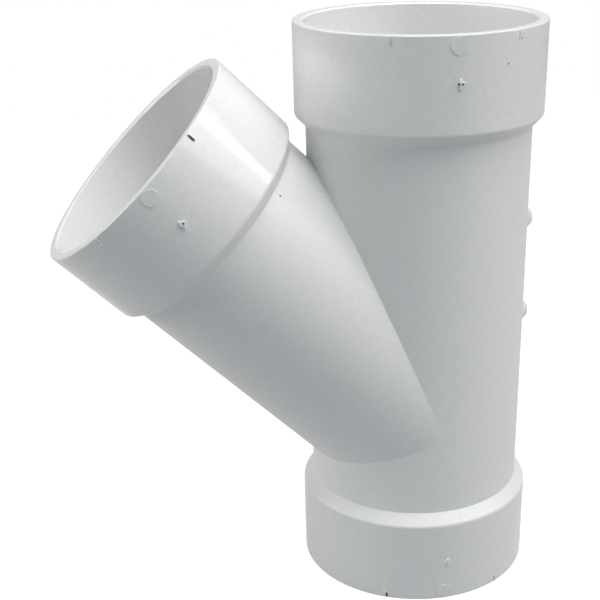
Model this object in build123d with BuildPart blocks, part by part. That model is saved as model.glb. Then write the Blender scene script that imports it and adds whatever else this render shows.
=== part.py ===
import math
import os

from build123d import *

os.makedirs("parts", exist_ok=True)

# Wye fitting for 4 inch drain pipe, moulded in one piece: a straight run and a branch that leaves it at
# 45 degrees, each of the three ends being a hub with a socket for the pipe. Sizes are in millimetres.
# The run stands on its lower rim at z = 0, the branch leans towards -X, and -Y is the front.

# Reach of each end, from the point where the two axes cross to the rim
lower_reach = 93.3
upper_reach = 204.1
branch_reach = 204.1
branch_angle = 45.0  # degrees between the branch and the upper part of the run

# Barrel, the plain tube between the hubs
barrel_radius = 57.15
barrel_wall = 6.02

# Socket: a stop at the bottom, a straight wall round the pipe, and a chamfer at the mouth
pipe_radius = 57.15
socket_clearance = 0.07  # radial, between the pipe and the wall
socket_depth = 44.45
mouth_chamfer = 0.9

# Hub, the thicker tube round the socket, with a conical shoulder down to the barrel
hub_wall = 5.38
shoulder_offset = 1.0  # from the socket's stop back to the shoulder's outer corner
shoulder_angle = 45.0  # degrees between the cone and the axis
shoulder_round = 2.2
rim_round = 0.6

# Alignment ticks, raised on each hub beside the rim, to both sides of the front
tick_turn = 30.0  # degrees from the front
tick_width = 0.9
tick_length = 3.9
tick_setback = 0.7  # from the rim
tick_height = 0.5

# Round mould mark, raised on the front of each hub beside the rim
mark_radius = 3.9
mark_setback = 4.8  # from the rim to the mark's centre
mark_height = 0.25

# Gate nubs, low cones on the back of the run, opposite the branch
nub_radius = 3.6  # at the end
nub_height = 5.8
nub_slope = 42.0  # degrees between a nub's side and its axis
nub_round = 1.0
nub_levels = (139.2, 191.7)  # heights of their centres

# Sizes that follow from the ones above
waterway_radius = barrel_radius - barrel_wall
socket_radius = pipe_radius + socket_clearance
hub_radius = socket_radius + hub_wall
hub_length = socket_depth + shoulder_offset
mark_root = hub_wall / 2  # depth in the hub's wall from which its marks rise
nub_length = nub_height + barrel_wall / 2  # from the middle of the barrel's wall
shoulder_rise = (hub_radius - barrel_radius) / math.tan(math.radians(shoulder_angle))
crossing = Vector(0, 0, lower_reach)
front = Vector(0, -1, 0)

# Each arm runs from the crossing to its rim: its lean from upright, towards -X, and its reach
arms = ((180.0, lower_reach), (0.0, upper_reach), (branch_angle, branch_reach))


def arm_section(lean):
    """Plane through an arm's axis, with its X across the arm and its Y along it."""
    angle = math.radians(lean)
    return Plane(origin=crossing, x_dir=(math.cos(angle), 0, math.sin(angle)), z_dir=front)


def hub_plane(lean, reach, setback, turn):
    """Plane in a hub's wall that faces out, setback from its rim and turned from the front."""
    section = arm_section(lean)
    outward = front.rotate(Axis((0, 0, 0), section.y_dir), turn)
    centre = section.origin + section.y_dir * (reach - setback) + outward * (hub_radius - mark_root)
    return Plane(origin=centre, x_dir=section.y_dir, z_dir=outward)


with BuildPart() as wye_fitting:
    # Outside of the three arms
    for lean, reach in arms:
        section = arm_section(lean)
        shoulder = reach - hub_length
        with BuildSketch(section) as outline:
            with BuildLine():
                Polyline(
                    (0, 0),
                    (barrel_radius, 0),
                    (barrel_radius, shoulder - shoulder_rise),
                    (hub_radius, shoulder),
                    (hub_radius, reach),
                    (0, reach),
                    close=True,
                )
            make_face()
            fillet(outline.vertices().group_by(Axis.X)[-1].sort_by(Axis.Y)[-1], rim_round)
            fillet(outline.vertices().group_by(Axis.X)[-1].sort_by(Axis.Y)[0], shoulder_round)
        revolve(axis=Axis(section.origin, section.y_dir))

    # Ticks and mould mark on each hub
    for lean, reach in arms:
        for turn in (-tick_turn, tick_turn):
            with BuildSketch(hub_plane(lean, reach, tick_setback + tick_length / 2, turn)):
                Rectangle(tick_length, tick_width)
            extrude(amount=mark_root + tick_height)
        with BuildSketch(hub_plane(lean, reach, mark_setback, 0)):
            Circle(mark_radius)
        extrude(amount=mark_root + mark_height)

    # Gate nubs, from inside the barrel's wall out to their rounded ends
    for level in nub_levels:
        with BuildSketch(Plane(origin=(barrel_radius + nub_height, 0, level), z_dir=(-1, 0, 0))):
            Circle(nub_radius)
        extrude(amount=nub_length, taper=-nub_slope)
    nub_ends = wye_fitting.faces().filter_by(Axis.X).group_by(Axis.X)[-1]
    fillet(nub_ends.edges(), nub_round)

    # Waterway and socket of each arm
    for lean, reach in arms:
        section = arm_section(lean)
        stop = reach - socket_depth
        with BuildSketch(section):
            with BuildLine():
                Polyline(
                    (0, 0),
                    (waterway_radius, 0),
                    (waterway_radius, stop),
                    (socket_radius, stop),
                    (socket_radius, reach - mouth_chamfer),
                    (socket_radius + mouth_chamfer, reach),
                    (0, reach),
                    close=True,
                )
            make_face()
        revolve(axis=Axis(section.origin, section.y_dir), mode=Mode.SUBTRACT)

wye_fitting.part.label = "wye_fitting"
export_step(wye_fitting.part, "parts/wye_fitting.step")
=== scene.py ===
import math

import bpy
from mathutils import Matrix, Vector


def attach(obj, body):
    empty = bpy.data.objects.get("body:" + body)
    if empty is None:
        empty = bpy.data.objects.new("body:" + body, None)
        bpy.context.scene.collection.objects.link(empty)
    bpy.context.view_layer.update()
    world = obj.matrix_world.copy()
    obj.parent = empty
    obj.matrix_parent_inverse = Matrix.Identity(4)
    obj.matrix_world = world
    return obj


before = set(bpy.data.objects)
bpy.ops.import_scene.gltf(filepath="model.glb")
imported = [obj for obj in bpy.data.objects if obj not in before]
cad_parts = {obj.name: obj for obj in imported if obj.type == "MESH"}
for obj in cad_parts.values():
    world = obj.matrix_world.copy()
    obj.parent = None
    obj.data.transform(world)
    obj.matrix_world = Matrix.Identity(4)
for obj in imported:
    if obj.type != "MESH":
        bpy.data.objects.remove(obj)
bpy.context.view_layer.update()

# PVC wye fitting: a run that stands on its lower rim, and a branch that leans towards -X. The front is -Y.
# Lengths are in metres, and turns and heights in degrees.

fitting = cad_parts["wye_fitting"]

# The fitting's own sizes, as in the part's source
hub_radius = 0.0626
hub_length = 0.04545
barrel_radius = 0.05715
lower_reach = 0.0933
arm_reach = 0.2041
crossing = Vector((0, 0, lower_reach))
front = Vector((0, -1, 0))

# Each arm's direction from the crossing, and its reach to the rim
arms = {
    "lower": (Vector((0, 0, -1)), lower_reach),
    "upper": (Vector((0, 0, 1)), arm_reach),
    "branch": (Vector((-1, 0, 1)).normalized(), arm_reach),
}

# Camera: where it stands, what it looks at, and how far it is turned about its own axis. The photograph's
# centre of perspective is a little below and right of its middle, which the shift gives back.
photo_side = 600
camera_place = Vector((-0.16992, -0.57234, 0.37518))
camera_aim = Vector((-0.05007, 0, 0.11243))
camera_roll = -1.10
focal_pixels = 1177.7
centre_pixel = (326.2, 372.9)
sensor_width = 36.0

# PVC: its gloss on the barrels and the hubs, with a short blend between them, and its faint mottle
barrel_roughness = 0.36
hub_roughness = 0.12
gloss_blend = 0.002
pvc_ior = 1.53
pvc_shades = ("#f0f0ef", "#ffffff")
mottle_scale = 620
mottle_relief = 0.000014

# Raised numerals: the arm, setback of the foot from the rim, turn from the front, and relief
numeral_height = 0.0045
digit_share = 0.7  # a digit's height, as a share of the font's size
numeral_bevel = 0.0002
numeral_boldness = 0.00002
numeral_lift = 0.2  # of the relief, from the hub's surface out to the numeral's middle
numerals = (
    ("upper", 0.0195, 1.3, 0.0009),
    ("branch", 0.0215, 0.6, 0.0009),
    ("lower", 0.0203, -0.8, 0.0003),
)

# Painted shade at the ticks' feet and beside the numerals, and dark specks at two pinholes: the arm, setback
# from its rim, turn from the front, length along the arm, width, lift of its middle off the surface, and how
# dark it is
# Colour of the painted shade and of the dark pinhole specks
shade_and_pinhole_colour = "#0d0c0c"
shade_and_pinhole_core = 0.75  # share of a mark's width that is at its darkest
shade_and_pinhole_marks = (
    # Painted shade on the shaded sides of the ticks' ribs, at their feet
    ("branch", 0.0004, 29.8, 0.0052, 0.00130, 0.0004, 1.0),
    ("upper", 0.0010, -28.0, 0.0040, 0.00130, 0.0002, 0.22),
    ("upper", 0.0036, 31.4, 0.0012, 0.00110, 0.0003, 0.65),
    ("upper", 0.0012, 31.3, 0.0030, 0.00080, 0.0003, 0.4),
    # A dark speck at a pinhole on the upper hub
    ("upper", 0.0145, 23.8, 0.0004, 0.00095, 0, 0.85),
    # Painted shade in the counters and beside the strokes of the raised numerals
    ("upper", 0.0214, 0.0, 0.0004, 0.00140, 0.0005, 1.0),
    ("upper", 0.0215, 1.6, 0.0004, 0.00130, 0.0005, 1.0),
    ("upper", 0.0242, 0.5, 0.0006, 0.00120, 0.0004, 0.7),
    ("branch", 0.0229, 0.75, 0.0008, 0.00120, 0.0005, 1.0),
    ("branch", 0.0250, -0.5, 0.0010, 0.00070, 0.0003, 0.5),
    ("branch", 0.0229, -0.8, 0.0006, 0.00080, 0.0003, 0.4),
    # Painted shade at the foot of another tick's rib
    ("branch", 0.0010, -30.9, 0.0030, 0.00090, 0.0003, 0.55),
    # A dark speck at a pinhole on the branch's barrel
    ("branch", 0.0543, 40.7, 0.0005, 0.00110, 0, 1.0),
    # Painted shade at the feet of the lower hub's tick ribs
    ("lower", 0.0012, -30.0, 0.0030, 0.00080, 0.0003, 0.5),
    ("lower", 0.0003, 28.9, 0.0028, 0.00150, 0.0003, 1.0),
)

# Floor: its own colour, and the glow that makes it look white. Rays passed on by a gloss see a dimmer white,
# so that the rims stay apart from the background.
floor_side = 2.4
floor_colour = "#acaeb0"
floor_glow = 0.84
gloss_white = 0.5

# Softboxes: bearing from the front towards the branch's side, height, size, power in watts, distance from
# what they face, and tint
lamp_aim = Vector((-0.05, 0, 0.15))
neutral = (1, 1, 1)
cool = (0.88, 1.0, 1.06)
lamps = {
    "key": (-45, 68, (1.6, 1.6), 6.4, 2.0, neutral),
    "right_front": (-60, 45, (1.7, 1.7), 19.4, 2.0, neutral),
    "strip": (-72.5, 37, (0.34, 0.80), 2.0, 2.0, neutral),
    "front": (20, 30, (1.4, 1.4), 4.2, 2.0, cool),
    "left": (98, 26, (1.6, 1.6), 11.6, 2.0, neutral),
    "left_low": (100, 12, (1.0, 0.8), 6.0, 2.0, neutral),
    "back": (180, 52, (1.6, 1.6), 5.0, 2.0, neutral),
    "overhead": (-20, 80, (0.5, 0.5), 3.5, 1.0, neutral),
}


def linear(code):
    """Linear colour of an sRGB hex code such as "#e4e6e8"."""
    channels = [int(code[i:i + 2], 16) / 255 for i in (1, 3, 5)]
    return (*[c / 12.92 if c <= 0.04045 else ((c + 0.055) / 1.055) ** 2.4 for c in channels], 1)


def add_node(tree, kind, settings=None, inputs=None):
    """Adds a node. Settings are its attributes, and inputs are values or the sockets that feed it."""
    node = tree.nodes.new(kind)
    for name, value in (settings or {}).items():
        setattr(node, name, value)
    for name, value in (inputs or {}).items():
        if isinstance(value, bpy.types.NodeSocket):
            tree.links.new(value, node.inputs[name])
        else:
            node.inputs[name].default_value = value
    return node


def add_math(tree, operation, first, second):
    """Result of a math operation on two values or sockets."""
    return add_node(tree, "ShaderNodeMath", {"operation": operation}, {0: first, 1: second}).outputs[0]


def new_material(name):
    """An empty material, its node tree and its output node."""
    material = bpy.data.materials.new(name)
    material.use_nodes = True
    tree = material.node_tree
    tree.nodes.clear()
    return material, tree, add_node(tree, "ShaderNodeOutputMaterial")


def placed(place, across, along, outward):
    """Matrix that sets an object at a place, with its X across, its Y along and its Z outward."""
    return Matrix.Translation(place) @ Matrix((across, along, outward)).transposed().to_4x4()


def arm_matrix(arm, setback, turn):
    """Place on an arm's surface, setback from its rim: X along its turn, Y towards the rim, Z outward."""
    direction, reach = arms[arm]
    outward = Matrix.Rotation(math.radians(turn), 3, direction) @ front
    radius = hub_radius if setback < hub_length else barrel_radius
    place = crossing + direction * (reach - setback) + outward * radius
    return placed(place, direction.cross(outward), direction, outward)


def painted_shade_and_pinholes(tree, place):
    """How dark the surface is painted: painted shade at the ticks' feet and beside the numerals, and dark
    pinhole specks.
    """
    darkest = None
    for arm, setback, turn, length, width, lift, depth in shade_and_pinhole_marks:
        # A mark is an ellipsoid: its foci lie its length apart, and its width is the minor axis
        middle = arm_matrix(arm, setback + length / 2, turn)
        distances = 0
        for end in (-length / 2, length / 2):
            distance = add_node(tree, "ShaderNodeVectorMath", {"operation": "DISTANCE"}, {
                0: place, 1: middle @ Vector((0, end, lift)),
            }).outputs["Value"]
            distances = add_math(tree, "ADD", distance, distances)
        dark = add_node(tree, "ShaderNodeMapRange", inputs={
            "Value": distances,
            "From Min": math.hypot(length, width),
            "From Max": math.hypot(length, width * shade_and_pinhole_core),
            "To Min": 0.0,
            "To Max": depth,
        }).outputs["Result"]
        darkest = dark if darkest is None else add_math(tree, "MAXIMUM", dark, darkest)
    return darkest


def length_into_hub(tree, place):
    """How far a point lies beyond the start of the nearest hub, along its arm. Barrels are below zero."""
    deepest = None
    for direction, reach in arms.values():
        dot = {"operation": "DOT_PRODUCT"}
        along = add_node(tree, "ShaderNodeVectorMath", dot, {0: place, 1: direction}).outputs["Value"]
        hub_start = crossing.dot(direction) + reach - hub_length
        beyond = add_math(tree, "SUBTRACT", along, hub_start)
        deepest = beyond if deepest is None else add_math(tree, "MAXIMUM", beyond, deepest)
    return deepest


def injection_moulded_pvc():
    """Rigid PVC from a polished steel mould: cool white and glossy on the hubs, satin on the barrels."""
    material, tree, output = new_material("injection_moulded_pvc")
    place = add_node(tree, "ShaderNodeTexCoord").outputs["Object"]
    roughness = add_node(tree, "ShaderNodeMapRange", inputs={
        "Value": length_into_hub(tree, place),
        "From Min": -gloss_blend / 2,
        "From Max": gloss_blend / 2,
        "To Min": barrel_roughness,
        "To Max": hub_roughness,
    })
    mottle = add_node(tree, "ShaderNodeTexNoise", inputs={
        "Vector": place, "Scale": mottle_scale, "Detail": 2.0,
    })
    white = add_node(tree, "ShaderNodeMix", {"data_type": "RGBA"}, {
        "Factor": mottle.outputs["Fac"], 6: linear(pvc_shades[0]), 7: linear(pvc_shades[1]),
    })
    # The white is darkened by painted shade at the ticks and numerals, and by dark pinhole specks
    colour = add_node(tree, "ShaderNodeMix", {"data_type": "RGBA"}, {
        "Factor": painted_shade_and_pinholes(tree, place), 6: white.outputs[2], 7: linear(shade_and_pinhole_colour),
    })
    bump = add_node(tree, "ShaderNodeBump", inputs={
        "Height": mottle.outputs["Fac"], "Strength": 1.0, "Distance": mottle_relief,
    })
    shader = add_node(tree, "ShaderNodeBsdfPrincipled", inputs={
        "Base Color": colour.outputs[2],
        "Roughness": roughness.outputs["Result"],
        "IOR": pvc_ior,
        "Normal": bump.outputs["Normal"],
    })
    tree.links.new(shader.outputs["BSDF"], output.inputs["Surface"])
    return material


def add_numeral(arm, setback, turn, relief, pvc):
    """Raised 4 on a hub's front, the pipe's size in inches. It stands on its head: its foot is to the rim."""
    bpy.ops.object.select_all(action="DESELECT")
    bpy.ops.object.text_add()
    text = bpy.context.object.data
    text.body = "4"
    text.size = numeral_height / digit_share
    text.extrude = relief / 2
    text.bevel_depth = numeral_bevel
    text.offset = numeral_boldness
    text.align_x = "CENTER"
    bpy.ops.object.convert(target="MESH")
    numeral = bpy.context.object
    numeral.name = arm + "_numeral"
    lifted = Matrix.Translation((0, 0, relief * numeral_lift))
    head_down = Matrix.Rotation(math.pi, 4, "Z")
    numeral.matrix_world = arm_matrix(arm, setback, turn) @ lifted @ head_down
    bpy.ops.object.transform_apply(location=True, rotation=True, scale=True)
    numeral.data.materials.clear()
    numeral.data.materials.append(pvc)
    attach(numeral, "root")


def seen_rays(tree):
    """White for the camera's rays, and a dimmer white for those that a gloss or a glass passes on."""
    rays = add_node(tree, "ShaderNodeLightPath").outputs
    passed_on = add_math(tree, "MAXIMUM", rays["Is Glossy Ray"], rays["Is Transmission Ray"])
    dimmer = add_math(tree, "MULTIPLY", passed_on, gloss_white)
    return add_math(tree, "MAXIMUM", dimmer, rays["Is Camera Ray"])


def white_paper_sweep():
    """Pale paper that looks white, and keeps the fitting's soft shadow."""
    material, tree, output = new_material("white_paper_sweep")
    paper = add_node(tree, "ShaderNodeBsdfDiffuse", inputs={"Color": linear(floor_colour)})
    strength = add_math(tree, "MULTIPLY", seen_rays(tree), floor_glow)
    glow = add_node(tree, "ShaderNodeEmission", inputs={"Strength": strength})
    both = add_node(tree, "ShaderNodeAddShader", inputs={0: paper.outputs[0], 1: glow.outputs[0]})
    tree.links.new(both.outputs[0], output.inputs["Surface"])
    return material


def add_floor():
    bpy.ops.mesh.primitive_plane_add(size=floor_side)
    floor = bpy.context.object
    floor.name = "floor"
    floor.data.materials.append(white_paper_sweep())


def add_lamp(name, bearing, height, size, power, distance, tint):
    """Softbox that faces the fitting."""
    softbox = bpy.data.lights.new(name, "AREA")
    softbox.shape = "RECTANGLE"
    softbox.size, softbox.size_y = size
    softbox.energy = power
    softbox.color = tint
    lamp = bpy.data.objects.new(name, softbox)
    bpy.context.scene.collection.objects.link(lamp)
    turn, lift = math.radians(bearing), math.radians(height)
    outward = Vector((-math.sin(turn) * math.cos(lift), -math.cos(turn) * math.cos(lift), math.sin(lift)))
    sideways = Vector((0, 0, 1)).cross(outward).normalized()
    lamp.matrix_world = placed(lamp_aim + outward * distance, sideways, outward.cross(sideways), outward)


def add_world():
    world = bpy.data.worlds.new("studio")
    bpy.context.scene.world = world
    world.use_nodes = True
    tree = world.node_tree
    background = tree.nodes["Background"]
    background.inputs["Color"].default_value = (1, 1, 1, 1)
    tree.links.new(seen_rays(tree), background.inputs["Strength"])


def add_camera():
    camera = bpy.data.objects.new("camera", bpy.data.cameras.new("camera"))
    bpy.context.scene.collection.objects.link(camera)
    forward = (camera_aim - camera_place).normalized()
    level = forward.cross(Vector((0, 0, 1))).normalized()
    upright = level.cross(forward)
    roll = math.radians(camera_roll)
    right = math.cos(roll) * level + math.sin(roll) * upright
    top = math.cos(roll) * upright - math.sin(roll) * level
    camera.matrix_world = placed(camera_place, right, top, -forward)
    camera.data.sensor_width = sensor_width
    camera.data.lens = focal_pixels / photo_side * sensor_width
    camera.data.shift_x = (photo_side / 2 - centre_pixel[0]) / photo_side
    camera.data.shift_y = (centre_pixel[1] - photo_side / 2) / photo_side
    bpy.context.scene.camera = camera


fitting.data.materials.clear()
pvc = injection_moulded_pvc()
fitting.data.materials.append(pvc)
for arm, setback, turn, relief in numerals:
    add_numeral(arm, setback, turn, relief, pvc)

add_floor()
for name, settings in lamps.items():
    add_lamp(name, *settings)
add_world()
add_camera()

bpy.context.scene.view_settings.view_transform = "Standard"
